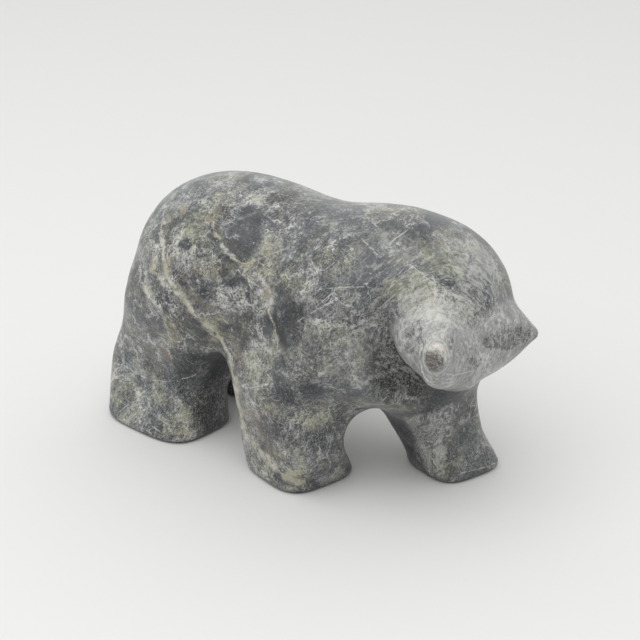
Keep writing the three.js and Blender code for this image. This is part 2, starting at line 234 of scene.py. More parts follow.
# Noises of the stone: waves a millimetre, detail, roughness, warp and seed
NOISES = {
    "cloud": (0.05, 4.0, 0.6, 0.6, 1.0),
    "mottle": (0.16, 6.0, 0.78, 0.4, 2.0),
    "grain": (1.2, 2.0, 0.8, 0.0, 3.0),
    "green": (0.05, 4.0, 0.55, 0.5, 4.0),
    "blue": (0.04, 4.0, 0.55, 0.5, 5.0),
    "chalky": (0.12, 8.0, 0.75, 0.3, 6.0),
    "patchy": (0.055, 4.0, 0.6, 0.0, 7.0),
    "blot": (0.16, 6.0, 0.7, 0.4, 8.0),
    "scratched": (0.05, 3.0, 0.6, 0.0, 12.0),
    "ragged": (0.5, 4.0, 0.6, 0.0, 15.0),
    "wander": (0.16, 7.0, 0.75, 0.6, 16.0),
    "broken": (0.4, 5.0, 0.75, 0.0, 17.0),
    "fleck": (0.6, 3.0, 0.7, 0.0, 18.0),
    "speck": (0.55, 4.0, 0.7, 0.3, 20.0),
    "swell": (0.11, 2.0, 0.5, 0.0, 21.0),
    "stained": (0.08, 5.0, 0.65, 0.0, 22.0),
    "along_neck": (1.0, 4.0, 0.65, 0.0, 25.0),
    "round_face": (1.0, 4.0, 0.65, 0.0, 26.0),
    "down_leg": (1.0, 4.0, 0.65, 0.0, 27.0),
}
BLOCKS_A_MILLIMETRE = 0.075
# Wisps: waves a millimetre, seed and half width
WISPS = ((0.05, 19.0, 0.008), (0.09, 23.0, 0.011), (0.18, 24.0, 0.015))
# Scratches: turn of the sanding, seed and how much is left clear
SCRATCHES = (((0.42, 0.88, 0.0), 9.0, 0.55), ((0.0, -0.2, 0.0), 10.0, 0.56), ((0.42, 1.47, 0.0), 11.0, 0.57))
# Half width in millimetres and strength of each vein
VEIN_LOOKS = (("haunch_vein", 1.9, 0.85), ("belly_wedge", 1.0, 0.7), ("rump_streak", 1.2, 0.75),
              ("thigh_streak", 0.9, 0.65), ("patch_edge", 0.7, 0.65), ("patch_foot", 0.4, 0.65))
SPOT_STRENGTHS = (("tan", 0.6), ("rust", 0.7), ("cream", 0.7))

# Studio: half side of the floor in metres, width of the camera's sensor, and the picture's side in pixels
FLOOR_HALF = 4.0
FLOOR_ROUGHNESS = 0.9
SENSOR_WIDTH = 36
PHOTO_SIDE = 640


class BearCarving(bpy.types.PropertyGroup):
    """Sizes of the carving's finer cuts."""

    skin_inset: FloatProperty(
        name="Skin inset", description="How far the fine skin lies inside the plain solid's skin",
        default=0.05 * MM, unit="LENGTH", subtype="DISTANCE")
    sole_rounding: FloatProperty(
        name="Sole rounding", description="Ease of the edge between a sole and its leg",
        default=3.2 * MM, unit="LENGTH", subtype="DISTANCE")
    wave_height: FloatProperty(
        name="Wave height", description="Depth of the soft waves that filing left in the skin",
        default=0.7 * MM, unit="LENGTH", subtype="DISTANCE")
    wave_span: FloatProperty(
        name="Wave span", description="Usual distance from one wave to the next",
        default=24 * MM, unit="LENGTH", subtype="DISTANCE")
    pit_depth: FloatProperty(
        name="Pit depth", description="Depth of the small worn hollows in the skin",
        default=0.3 * MM, unit="LENGTH", subtype="DISTANCE")
    pit_span: FloatProperty(
        name="Pit span", description="Usual distance from one small hollow to the next",
        default=5 * MM, unit="LENGTH", subtype="DISTANCE")
    relief_seed: IntProperty(name="Relief seed", description="Which of the many reliefs is cut", default=7)


class BearStone(bpy.types.PropertyGroup):
    """Colours and sheen of the stone."""

    deep: FloatVectorProperty(
        name="Deep", description="Darkest blue-grey of the stone", subtype="COLOR", size=4,
        default=(0.012, 0.013, 0.016, 1))
    dark: FloatVectorProperty(
        name="Dark", description="Dark blue-grey of the stone", subtype="COLOR", size=4,
        default=(0.062, 0.066, 0.072, 1))
    body: FloatVectorProperty(
        name="Body", description="Usual grey of the stone", subtype="COLOR", size=4,
        default=(0.145, 0.147, 0.142, 1))
    light: FloatVectorProperty(
        name="Light", description="Light grey of the stone", subtype="COLOR", size=4,
        default=(0.255, 0.256, 0.242, 1))
    pale: FloatVectorProperty(
        name="Pale", description="Palest grey clouds", subtype="COLOR", size=4,
        default=(0.5, 0.5, 0.475, 1))
    olive: FloatVectorProperty(
        name="Olive", description="Tint of the greenish blocks", subtype="COLOR", size=4,
        default=(0.98, 0.95, 0.72, 1))
    blue: FloatVectorProperty(
        name="Blue", description="Tint of the bluish blocks", subtype="COLOR", size=4,
        default=(0.9, 0.95, 1.0, 1))
    cream: FloatVectorProperty(
        name="Cream", description="Middle of the veins", subtype="COLOR", size=4,
        default=(0.47, 0.45, 0.33, 1))
    tan: FloatVectorProperty(
        name="Tan", description="Stained side of the veins", subtype="COLOR", size=4,
        default=(0.24, 0.2, 0.13, 1))
    rust: FloatVectorProperty(
        name="Rust", description="Rusty spots", subtype="COLOR", size=4,
        default=(0.16, 0.105, 0.07, 1))
    # Dark brown stain on the lower side of the nose pad, with painted shade in it
    nose_stain_and_shade: FloatVectorProperty(
        name="Nostril", description="Stained side of the nose pad", subtype="COLOR", size=4,
        default=(0.09, 0.07, 0.06, 1))
    # Colour of the painted highlight on the upper side of the nose pad
    nose: FloatVectorProperty(
        name="Nose", description="Rubbed side of the nose pad", subtype="COLOR", size=4,
        default=(0.62, 0.57, 0.52, 1))
    chalk: FloatVectorProperty(
        name="Chalk", description="Scratches and healed cracks", subtype="COLOR", size=4,
        default=(0.58, 0.58, 0.56, 1))
    sheen_low: FloatProperty(
        name="Smoothest", description="Roughness where the stone is best polished", default=0.33,
        subtype="FACTOR")
    sheen_high: FloatProperty(
        name="Roughest", description="Roughness where it is scratched", default=0.62, subtype="FACTOR")
    bump_height: FloatProperty(
        name="Bump height", description="Height of scratches and grain", default=0.05 * MM, unit="LENGTH")


class BearStage(bpy.types.PropertyGroup):
    """Camera, floor and light."""

    azimuth: FloatProperty(
        name="Azimuth", description="Turn of the camera from the right side towards the front",
        default=math.radians(40), subtype="ANGLE")
    elevation: FloatProperty(
        name="Elevation", description="Height of the camera above the level", default=math.radians(24),
        subtype="ANGLE")
    distance: FloatProperty(
        name="Distance", description="From the camera to the point it looks at", default=620 * MM,
        unit="LENGTH", subtype="DISTANCE")
    look_at: FloatVectorProperty(
        name="Look at", description="Point in the middle of the picture", subtype="XYZ", unit="LENGTH",
        size=3, default=(-3.6985 * MM, 8.7401 * MM, 50 * MM))
    focal_pixels: FloatProperty(
        name="Focal length", description="Focal length in pixels of the picture", default=1550)
    floor_colour: FloatVectorProperty(
        name="Floor", description="Colour of the floor", subtype="COLOR", size=4,
        default=(0.69, 0.69, 0.685, 1))
    front_light: FloatProperty(
        name="Room in front", description="Brightness of the white room on the camera's side", default=0.4)
    back_light: FloatProperty(
        name="Room behind", description="Brightness of the white room behind the carving", default=1.2)
    key_light: FloatProperty(
        name="Key light", description="Power of the wide light high on the camera's side", default=9,
        subtype="POWER", unit="POWER")
    key_place: FloatVectorProperty(
        name="Key place", description="Where the key light hangs", subtype="XYZ", unit="LENGTH", size=3,
        default=(0.02, -0.62, 1.12))
    key_size: FloatProperty(
        name="Key size", description="Side of the key light", default=1.4, unit="LENGTH", subtype="DISTANCE")


def lengths(vectors):
    return np.sqrt((vectors * vectors).sum(axis=-1))


def ellipsoid(p, mass):
    middle, half = (np.array(v, float) for v in mass)
    offset = p - middle
    reach = lengths(offset / half)
    slope = lengths(offset / half ** 2)
    return reach * (reach - 1) / np.maximum(slope, 1e-9)


def taper(p, mass):
    start, start_radius, end, end_radius = mass
    start = np.array(start, float)
    run = np.array(end, float) - start
    along = np.clip((p - start) @ run / (run @ run), 0, 1)
    nearest = start + along[:, None] * run
    return lengths(p - nearest) - (start_radius + along * (end_radius - start_radius))


def cone(p, mass):
    """The skin stretched straight from one ball to a smaller one."""
    start, start_radius, end, end_radius = mass
    start = np.array(start, float)
    run = np.array(end, float) - start
    length = np.linalg.norm(run)
    narrowing = (start_radius - end_radius) / length
    slope = math.sqrt(1 - narrowing * narrowing)
    along = (p - start) @ run / length
    out = lengths(p - start - along[:, None] * run / length)
    foot = np.clip(along - out * narrowing / slope, 0, length)
    return np.hypot(out, along - foot) - (start_radius - foot * narrowing)


def station_curve(stations, column, heights):
    """A smooth curve through one column of a leg's stations, level past both ends."""
    at = np.array([s[0] for s in stations], float)
    values = np.array([s[column] for s in stations], float)
    slopes = np.zeros(len(at))
    for i in range(1, len(at)):
        above = min(i + 1, len(at) - 1)
        slopes[i] = (values[above] - values[i - 1]) / (at[above] - at[i - 1])
    h = np.clip(heights, at[0], at[-1])
    i = np.clip(np.searchsorted(at, h, side="right") - 1, 0, len(at) - 2)
    span = at[i + 1] - at[i]
    t = (h - at[i]) / span
    return ((2 * t ** 3 - 3 * t ** 2 + 1) * values[i] + (t ** 3 - 2 * t ** 2 + t) * span * slopes[i]
            + (3 * t ** 2 - 2 * t ** 3) * values[i + 1] + (t ** 3 - t ** 2) * span * slopes[i + 1])


def leg(p, limb):
    turn, stations = limb
    dx = p[:, 0] - station_curve(stations, 1, p[:, 2])
    dy = p[:, 1] - station_curve(stations, 2, p[:, 2])
    half_length = station_curve(stations, 3, p[:, 2])
    half_width = station_curve(stations, 4, p[:, 2])
    ahead = np.abs(dx * math.cos(turn) + dy * math.sin(turn)) / half_length
    aside = np.abs(dy * math.cos(turn) - dx * math.sin(turn)) / half_width
    reach = (ahead ** LEG_SQUARENESS + aside ** LEG_SQUARENESS) ** (1 / LEG_SQUARENESS)
    side = (reach - 1) * np.minimum(half_length, half_width)
    return cut(side, p[:, 2] - stations[-1][0], LEG_TOP_ROUNDING)


def join(a, b, ease):
    blend = np.maximum(ease - np.abs(a - b), 0) / ease
    return np.minimum(a, b) - blend * blend * ease / 4


def cut(a, b, ease):
    return -join(-a, -b, ease)


def masses(p):
    """How far each point lies outside the eased masses of the body and of the head."""
    body = join(ellipsoid(p, RUMP), ellipsoid(p, BARREL), BACK_EASE)
    body = join(body, ellipsoid(p, SHOULDERS), SHOULDER_EASE)
    body = join(body, taper(p, NECK), NECK_EASE)
    legs = leg(p, RIGHT_HIND)
    for limb in (LEFT_HIND, RIGHT_FORE, LEFT_FORE):
        legs = join(legs, leg(p, limb), BETWEEN_LEGS_EASE)
    body = join(body, legs, LEG_EASE)
    body = cut(body, -taper(p, CHEEK_HOLLOW), CHEEK_HOLLOW_EASE)
    body = cut(body, -ellipsoid(p, BELLY_ARCH), BELLY_ARCH_EASE)
    for part in THROAT_HOLLOW:
        body = cut(body, -taper(p, part), THROAT_EASE)
    head = join(taper(p, SKULL), taper(p, MUZZLE), MUZZLE_EASE)
    head = join(head, taper(p, CHIN), CHIN_EASE)
    head = join(head, taper(p, JAW), JAW_EASE)
    return body, join(head, cone(p, EAR), EAR_EASE)


def carving(points, sizes):
    """How far each point lies outside the carving's fine skin; points and result in millimetres."""
    body, head = masses(points + CENTRING)
    skin = join(body, head, HEAD_EASE) - FILING_ALLOWANCE + sizes.skin_inset / MM
    for path, depth, half_width in FINE_CUTS.values():
        skin = skin + depth * np.exp(-(path_gap(points, path) / half_width) ** 2)
    return cut(skin, -points[:, 2], sizes.sole_rounding / MM)


def path_gap(points, path):
    """Distance from each point to a path of straight steps."""
    gap = np.full(len(points), np.inf)
    for start, end in zip(path, path[1:]):
        gap = np.minimum(gap, taper(points, (start, 0, end, 0)))
    return gap


def settled(points, sizes):
    """Points moved along the skin's slope until they lie on it."""
    p = points.copy()
    for _ in range(SETTLE_ROUNDS):
        away = carving(p, sizes)
        slope = np.empty_like(p)
        for axis in range(3):
            step = np.zeros(3)
            step[axis] = PROBE
            slope[:, axis] = (carving(p + step, sizes) - carving(p - step, sizes)) / (2 * PROBE)
        p -= slope * (away / np.maximum((slope * slope).sum(axis=1), LEAST_SLOPE))[:, None]
        p[:, 2] = np.maximum(p[:, 2], 0)
    return p


def picture_axes():
    """The two directions square to the veins' slope."""
    along = np.array(VEIN_SLOPE) / np.linalg.norm(VEIN_SLOPE)
    right = np.cross((0.0, 0.0, 1.0), along)
    right /= np.linalg.norm(right)
    return right, np.cross(along, right)


def vein_marks(points, path, reach):
    """Signed distance to a vein's sheet, and how near its drawn length a point lies, from 1 to 0."""
    right, up = picture_axes()
    flat = np.stack((points @ right, points @ up), axis=1)
    line = np.stack((np.array(path) @ right, np.array(path) @ up), axis=1)
    gap, side = np.full(len(points), np.inf), np.ones(len(points))
    for start, end in zip(line, line[1:]):
        run = end - start
        share = np.clip((flat - start) @ run / (run @ run), 0, 1)
        offset = flat - (start + share[:, None] * run)
        here = lengths(offset)
        turn = run[0] * offset[:, 1] - run[1] * offset[:, 0]
        nearer = here < gap
        gap = np.where(nearer, here, gap)
        side = np.where(nearer, np.sign(turn), side)
    return gap * side, np.clip(2 - gap / reach, 0, 1)


def clouds(points, table):
    total = np.zeros(len(points))
    for middle, reach, strength in table:
        total += strength * np.exp(-(lengths(points - np.array(middle)) / reach) ** 2)
    return total


def set_attribute(mesh, name, values):
    layer = mesh.attributes.new(name, "FLOAT", "POINT")
    layer.data.foreach_set("value", np.asarray(values, np.float32))


def mark_stone(mesh, points):
    """Writes on each vertex how it lies to the veins, clouds and spots of the stone, with painted shade,
    shadow, light and glints among them.
    """
    for name, path in VEINS.items():
        gap, near = vein_marks(points, path, VEIN_REACH)
        set_attribute(mesh, name + "_gap", gap)
        set_attribute(mesh, name + "_near", near)
    best, best_near = np.full(len(points), 9.0), np.zeros(len(points))
    for path in HAIRLINES:
        gap, near = vein_marks(points, path, HAIRLINE_REACH)
        near = near * (path_gap(points, path) < HAIRLINE_DEPTH)
        nearer = near > best_near
        best, best_near = np.where(nearer, gap, best), np.where(nearer, near, best_near)
    set_attribute(mesh, "hairline_gap", best)
    set_attribute(mesh, "hairline_near", best_near)
    body, head = masses(points + CENTRING)
    on_head = np.clip(0.5 + (body - head) / 2, 0, 1)
    set_attribute(mesh, "on_head", on_head)
    set_attribute(mesh, "smooth", np.clip((points[:, 0] - SANDED_FROM) / SANDED_OVER, 0, 1))
    # Dark patches, painted shade in hollows, creases and under the belly among them
    set_attribute(mesh, "dark", clouds(points, DARK_PATCHES_AND_PAINTED_SHADE))
    # Painted shadow of the head on the chest
    set_attribute(mesh, "shade", clouds(points, PAINTED_CHEST_SHADOW) * (1 - on_head))
    # Pale patches, painted light on the left fore leg and a painted reflection on the neck among them
    set_attribute(mesh, "light", clouds(points, PALE_PATCHES_AND_PAINTED_LIGHT))
    set_attribute(mesh, "olive", clouds(points, OLIVE_CLOUDS))
    set_attribute(mesh, "tan", clouds(points, TAN_SPOTS))
    set_attribute(mesh, "rust", clouds(points, RUST_SPOTS))
    # Cream spots, two painted glints in the ear hollow among them
    set_attribute(mesh, "cream", clouds(points, CREAM_SPOTS_AND_PAINTED_GLINTS))
    middle, half_width, half_height, nose_reach = NOSE
    right, up = picture_axes()
    offset = points - np.array(middle)
    aside, above = offset @ right / half_width, offset @ up / half_height
    set_attribute(mesh, "nose_gap", np.where(lengths(offset) < nose_reach, np.hypot(aside, above), 9.0))
    # Which side of the nose pad a point lies on, for its painted highlight and its stain with painted shade
    set_attribute(mesh, "nose_turn", aside + above)
    axis = np.array(FACE_AXIS) / np.linalg.norm(FACE_AXIS)
    side = np.cross(axis, (0.0, 0.0, 1.0))
    side /= np.linalg.norm(side)
    offset = points - np.array(FACE_MIDDLE)
    right, up = offset @ side, offset @ np.cross(side, axis)
    radius = np.maximum(np.hypot(right, up), 0.1)
    ring = mesh.attributes.new("face_ring", "FLOAT_VECTOR", "POINT")
    turned = np.stack((radius, right / radius, up / radius), axis=1)
    ring.data.foreach_set("vector", turned.astype(np.float32).ravel())
    above_legs = np.clip((points[:, 2] - LEG_TOP) / LEG_TOP_FADE, 0, 1)
    set_attribute(mesh, "face_near", np.clip((FACE_REACH - lengths(offset)) / FACE_FADE, 0, 1) * above_legs)


class NodeBoard:
    """Short ways to lay nodes in a tree."""

    def __init__(self, tree):
        self.tree = tree

    def add(self, kind, inputs=None, **settings):
        node = self.tree.nodes.new(kind)
        for key, value in settings.items():
            setattr(node, key, value)
        for key, value in (inputs or {}).items():
            self.feed(node.inputs[key], value)
        return node

    def feed(self, socket, value):
        if isinstance(value, bpy.types.NodeSocket):
            self.tree.links.new(value, socket)
        else:
            socket.default_value = value

    def math(self, operation, a, b=0.0, clamp=False):
        node = self.add("ShaderNodeMath", {0: a, 1: b}, operation=operation, use_clamp=clamp)
        return node.outputs[0]

    def vector(self, operation, a, b=(0.0, 0.0, 0.0)):
        return self.add("ShaderNodeVectorMath", {0: a, 1: b}, operation=operation).outputs[0]

    def scaled(self, vector, factor):
        return self.add("ShaderNodeVectorMath", {0: vector, "Scale": factor}, operation="SCALE").outputs[0]

    def noise(self, vector, scale, detail=4.0, rough=0.55, warp=0.0, seed=0.0):
        node = self.add("ShaderNodeTexNoise", {"Vector": vector, "Scale": scale, "Detail": detail,
                                               "Roughness": rough, "Distortion": warp, "W": seed},
                        noise_dimensions="4D")
        return node.outputs["Fac"]

    def step(self, value, low, high):
        """0 below low, 1 above high, smooth between; low above high turns it round."""
        node = self.add("ShaderNodeMapRange", {"Value": value, "From Min": low, "From Max": high},
                        interpolation_type="SMOOTHSTEP")
        return node.outputs["Result"]

    def mix(self, share, a, b, blend="MIX"):
        node = self.add("ShaderNodeMix", data_type="RGBA", blend_type=blend)
        self.feed(node.inputs["Factor"], share)
        self.feed(node.inputs[6], a)
        self.feed(node.inputs[7], b)
        return node.outputs[2]

    def attribute(self, name):
        return self.add("ShaderNodeAttribute", attribute_name=name).outputs["Fac"]

    def summed(self, *parts):
        total = None
        for value, share in parts:
            part = self.math("MULTIPLY", value, share)
            total = part if total is None else self.math("ADD", total, part)
        return total

    def drifted(self, vector, scale, reach):
        """The same place pushed about by a soft noise."""
        noise = self.add("ShaderNodeTexNoise", {"Vector": vector, "Scale": scale, "Detail": 4.0})
        push = self.vector("SUBTRACT", noise.outputs["Color"], (0.5, 0.5, 0.5))
        return self.vector("ADD", vector, self.scaled(push, reach))

    def mapped(self, vector, turn, scale):
        """The same place turned, then stretched along each axis."""
        turned = self.add("ShaderNodeVectorRotate", {"Vector": vector, "Rotation": turn},
                          rotation_type="EULER_XYZ").outputs[0]
        return self.vector("MULTIPLY", turned, scale)

    def scratches(self, vector, seed, low):
        return self.step(self.noise(vector, 1.0, 3.0, 0.6, 0.15, seed), low, low + 0.12)

    def ramp(self, value, stops):
        node = self.add("ShaderNodeValToRGB", {0: value})
        band = node.color_ramp
        while len(band.elements) < len(stops):
            band.elements.new(0.5)
        for element, (at, colour) in zip(band.elements, stops):
            element.position = at
            element.color = colour
        return node.outputs["Color"]


def stone_material(stone):
    """Mottled soapstone on Object coordinates, with the marks written on the skin."""
    material = bpy.data.materials.new("soapstone")
    material.use_nodes = True
    material.node_tree.nodes.clear()
    board = NodeBoard(material.node_tree)
    place = board.add("ShaderNodeTexCoord").outputs["Object"]
    p = board.scaled(place, 1 / MM)
    bent = board.drifted(p, 0.045, 24.0)
    crooked = board.drifted(bent, 0.25, 7.0)
    chalk = tuple(stone.chalk)

    # Blocks of differing grey, broad clouds, mottle and grain
    cells = {"Vector": crooked, "Scale": BLOCKS_A_MILLIMETRE}
    block = board.add("ShaderNodeTexVoronoi", cells).outputs["Color"]
    block = board.add("ShaderNodeSeparateColor", {0: block}).outputs
    seam = board.add("ShaderNodeTexVoronoi", cells, feature="DISTANCE_TO_EDGE").outputs["Distance"]
    cloud = board.noise(p, *NOISES["cloud"])
    mottle = board.noise(p, *NOISES["mottle"])
    grain = board.noise(p, *NOISES["grain"])
    edge = board.math("MULTIPLY", board.math("SUBTRACT", mottle, 0.5), 1.6)
    # dark holds the stone's dark patches together with painted shade in hollows, creases and under the belly
    dark = board.step(board.math("ADD", board.attribute("dark"), edge), 0.25, 0.5)
    # light holds the stone's pale patches together with painted light on the left fore leg and a painted
    # reflection on the neck
    light = board.step(board.math("ADD", board.attribute("light"), edge), 0.25, 0.6)
    smooth = board.attribute("smooth")
    busy = board.math("SUBTRACT", 1.0, board.math("MULTIPLY", smooth, 0.6))
    mottled = board.math("MULTIPLY", board.math("SUBTRACT", mottle, 0.5), busy)
    grained = board.math("MULTIPLY", board.math("SUBTRACT", grain, 0.5), busy)
    height = board.add("ShaderNodeSeparateXYZ", {0: p}).outputs[2]
    on_leg = board.step(height, 54.0, 42.0)
    along_neck = board.mapped(bent, (0.0, -0.5, 0.0), (0.05, 1.5, 1.5))
    along_neck = board.noise(along_neck, *NOISES["along_neck"])
    down_leg = board.mapped(bent, (0.0, -0.25, 0.0), (1.2, 1.2, 0.06))
    down_leg = board.noise(down_leg, *NOISES["down_leg"])
    along = board.summed((along_neck, board.math("SUBTRACT", 1.0, on_leg)), (down_leg, on_leg))
    ring = board.add("ShaderNodeAttribute", attribute_name="face_ring").outputs["Vector"]
    ring = board.vector("ADD", ring, board.scaled(board.vector("SUBTRACT", bent, p), 0.3))
    face = board.attribute("face_near")
    round_face = board.noise(board.vector("MULTIPLY", ring, (1.3, 3.0, 3.0)), *NOISES["round_face"])
    streak = board.summed((along, board.math("SUBTRACT", 1.0, face)), (round_face, face))
    streaked = board.math("MULTIPLY", board.math("SUBTRACT", streak, 0.5), smooth)
    # Painted shade from the dark patches and the painted shadow on the chest darken the tone; painted light
    # from the pale patches lightens it
    tone = board.summed((cloud, 0.7), (mottled, 1.6), (grained, 1.0), (streaked, 0.6), (block[0], 0.2),
                        (dark, -0.3), (light, 0.08), (board.attribute("shade"), -0.3))
    tone = board.math("ADD", tone, 0.03)
    colour = board.ramp(tone, ((0.1, stone.deep), (0.42, stone.dark), (0.55, stone.body),
                               (0.68, stone.light), (0.95, stone.pale)))

    # Greenish and bluish blocks
    green = board.summed((board.noise(p, *NOISES["green"]), 1.0), (block[1], 0.2),
                         (board.attribute("olive"), 0.3), (mottle, 0.5))
    green = board.math("MULTIPLY", board.step(green, 0.78, 1.02), 0.85)
    colour = board.mix(green, colour, tuple(stone.olive), "MULTIPLY")
    blue = board.math("MAXIMUM", dark, board.step(board.noise(p, *NOISES["blue"]), 0.46, 0.6))
    colour = board.mix(blue, colour, tuple(stone.blue), "MULTIPLY")

    # Chalky clouds with ragged edges, broken pale seams between blocks, and fine pale wisps
    fine = board.summed((grain, board.math("SUBTRACT", 1.0, smooth)), (streak, smooth))
    powder = board.step(fine, 0.38, 0.62)
    chalky = board.step(board.noise(crooked, *NOISES["chalky"]), 0.56, 0.63)
    chalky = board.math("MULTIPLY", chalky, board.step(cloud, 0.4, 0.55))
    # The pale patches turn chalky, the painted light and painted reflection among them
    chalky = board.math("MAXIMUM", board.math("MULTIPLY", chalky, busy), light)
    chalky = board.math("MULTIPLY", chalky, powder)
    patchy = board.step(board.noise(p, *NOISES["patchy"]), 0.47, 0.6)
    ragged_seam = board.math("ADD", seam, board.math("MULTIPLY", board.math("SUBTRACT", mottle, 0.55), 0.7))
    dusted = board.math("MULTIPLY", board.step(ragged_seam, 0.07, -0.04), powder)
    dusted = board.math("MULTIPLY", dusted, patchy)
    seamed = board.math("MULTIPLY", board.step(seam, 0.026, 0.006), patchy)
    for scale, seed, width in WISPS:
        swirl = board.noise(bent, scale, 5.0, 0.55, 0.2, seed)
        wisp = board.step(board.math("ABSOLUTE", board.math("SUBTRACT", swirl, 0.5)), width, width * 0.25)
        here = board.step(board.noise(p, 0.07, 3.0, 0.6, 0.0, seed + 0.5), 0.5, 0.6)
        wisp = board.math("MULTIPLY", wisp, here)
        seamed = board.math("MAXIMUM", seamed, wisp)
    seamed = board.math("MULTIPLY", seamed, board.step(mottle, 0.4, 0.54))
    calm = board.math("SUBTRACT", 1.0, board.math("MULTIPLY", dark, 0.6))
    seamed = board.math("MULTIPLY", seamed, board.math("SUBTRACT", calm, board.attribute("shade"), True))
    dusted = board.math("MULTIPLY", dusted, calm)
    colour = board.mix(board.math("MULTIPLY", chalky, 0.5), colour, chalk)
    colour = board.mix(board.math("MULTIPLY", dusted, 0.5), colour, chalk)
    colour = board.mix(board.math("MULTIPLY", seamed, 0.8), colour, chalk)

    # Dark blots and specks
    blot = board.step(board.noise(p, *NOISES["blot"]), 0.6, 0.68)
    speck = board.step(board.noise(p, *NOISES["speck"]), 0.6, 0.67)
    speck = board.math("MAXIMUM", board.math("MULTIPLY", blot, 0.9), board.math("MULTIPLY", speck, 0.8))
    speck = board.math("MULTIPLY", speck, busy)
    colour = board.mix(board.math("MULTIPLY", speck, 0.7), colour, tuple(stone.deep))

    # Sanding scratches: long thin noise in three directions, up the legs, and in rings round the face
    scratch = None
    for turn, seed, low in SCRATCHES:
        line = board.scratches(board.mapped(p, turn, (0.035, 2.2, 2.2)), seed, low)
        scratch = line if scratch is None else board.math("MAXIMUM", scratch, line)
    scratch = board.math("MULTIPLY", scratch, board.step(board.noise(p, *NOISES["scratched"]), 0.38, 0.6))
    upright = board.scratches(board.vector("MULTIPLY", bent, (1.6, 1.6, 0.07)), 13.0, 0.56)
    upright = board.math("MULTIPLY", upright, board.step(height, 52.0, 40.0))
    scratch = board.math("MAXIMUM", scratch, board.math("MULTIPLY", upright, 0.6))
    rings = board.scratches(board.vector("MULTIPLY", ring, (1.2, 3.0, 3.0)), 14.0, 0.5)
    rings = board.math("MULTIPLY", board.math("MULTIPLY", rings, face), 0.9)
    scratch = board.math("MAXIMUM", scratch, rings)
    colour = board.mix(board.math("MULTIPLY", scratch, 0.55), colour, chalk)
    rubbed_and_highlight = board.math("MULTIPLY", board.attribute("on_head"), board.summed((powder, 0.14), (face, 0.3)))
    rubbed_and_highlight = board.math("MULTIPLY", rubbed_and_highlight, calm)
    colour = board.mix(rubbed_and_highlight, colour, chalk)

    # Drawn hairlines
    ragged = board.math("MULTIPLY", board.math("SUBTRACT", board.noise(p, *NOISES["ragged"]), 0.5), 1.4)
    hair = board.math("ABSOLUTE", board.math("ADD", board.attribute("hairline_gap"), ragged))
    hair = board.math("MULTIPLY", board.step(hair, 0.3, 0.04), board.attribute("hairline_near"))
    shown = board.step(board.math("ADD", mottle, board.attribute("on_head")), 0.4, 0.54)
    hair = board.math("MULTIPLY", hair, shown)
    colour = board.mix(board.math("MULTIPLY", hair, 0.7), colour, chalk)

    # Cream veins of uneven width, stained here and there along one side
    wander = board.math("MULTIPLY", board.math("SUBTRACT", board.noise(p, *NOISES["wander"]), 0.5), 7.0)
    broken = board.step(board.noise(p, *NOISES["broken"]), 0.36, 0.56)
    swell = board.math("ADD", board.step(board.noise(p, *NOISES["swell"]), 0.36, 0.64), 0.35)
    stained = board.step(board.noise(p, *NOISES["stained"]), 0.48, 0.62)
    vein_colour = board.mix(board.step(mottle, 0.46, 0.6), tuple(stone.cream), chalk)
    for name, half_width, strength in VEIN_LOOKS:
        gap = board.math("ADD", board.attribute(name + "_gap"), wander if half_width > 0.5 else ragged)
        near = board.attribute(name + "_near")
        stain_and_nose_shade = board.math("MULTIPLY", board.step(gap, half_width * 5, half_width),
                           board.step(gap, -half_width, 0.0))
        stain_and_nose_shade = board.math("MULTIPLY", board.math("MULTIPLY", stain_and_nose_shade, near),
                           board.math("MULTIPLY", stained, strength * 0.7))
        colour = board.mix(stain_and_nose_shade, colour, tuple(stone.tan))
        reach = board.math("DIVIDE", board.math("ABSOLUTE", gap), board.math("MULTIPLY", swell, half_width))
        core = board.math("MULTIPLY", board.math("MULTIPLY", board.step(reach, 1.2, 0.2), near), broken)
        colour = board.mix(board.math("MULTIPLY", core, strength), colour, vein_colour)

    # Tan, rusty and cream spots, the cream ones with two painted glints in the ear hollow among them
    blotch = board.math("MULTIPLY", board.math("SUBTRACT", mottle, 0.5), 2.4)
    for name, share in SPOT_STRENGTHS:
        spot = board.step(board.math("ADD", board.attribute(name), blotch), 0.3, 0.75)
        colour = board.mix(board.math("MULTIPLY", spot, share), colour, tuple(getattr(stone, name)))

    # Nose pad, with a painted highlight above on one side, and a dark brown stain with painted shade in it
    # below on the other
    nose_gap = board.math("ADD", board.attribute("nose_gap"), board.math("MULTIPLY", blotch, 0.12))
    nose_turn = board.math("ADD", board.attribute("nose_turn"), board.math("MULTIPLY", blotch, 3.0))
    pad = board.step(nose_gap, 1.0, 0.8)
    rubbed_and_highlight = board.math("MULTIPLY", pad, board.step(nose_turn, 0.0, 0.7))
    stain_and_nose_shade = board.math("MULTIPLY", pad, board.step(nose_turn, 0.2, -0.5))
    colour = board.mix(board.math("MULTIPLY", rubbed_and_highlight, 0.85), colour, tuple(stone.nose))
    stain_and_nose_shade = board.math("MULTIPLY", stain_and_nose_shade, board.step(grain, 0.75, 0.4))
    colour = board.mix(stain_and_nose_shade, colour, tuple(stone.nose_stain_and_shade))
    rim = board.step(board.math("ABSOLUTE", board.math("SUBTRACT", nose_gap, 1.06)), 0.1, 0.02)
    colour = board.mix(board.math("MULTIPLY", rim, 0.4), colour, chalk)

    # White flecks, and a darker colour along the bottom of the soles
    fleck = board.step(board.noise(p, *NOISES["fleck"]), 0.65, 0.71)
    colour = board.mix(board.math("MULTIPLY", fleck, 0.6), colour, chalk)
    sole_darkening = board.math("MULTIPLY", board.step(height, 1.8, 0.3), 0.7)
    colour = board.mix(sole_darkening, colour, tuple(stone.deep))

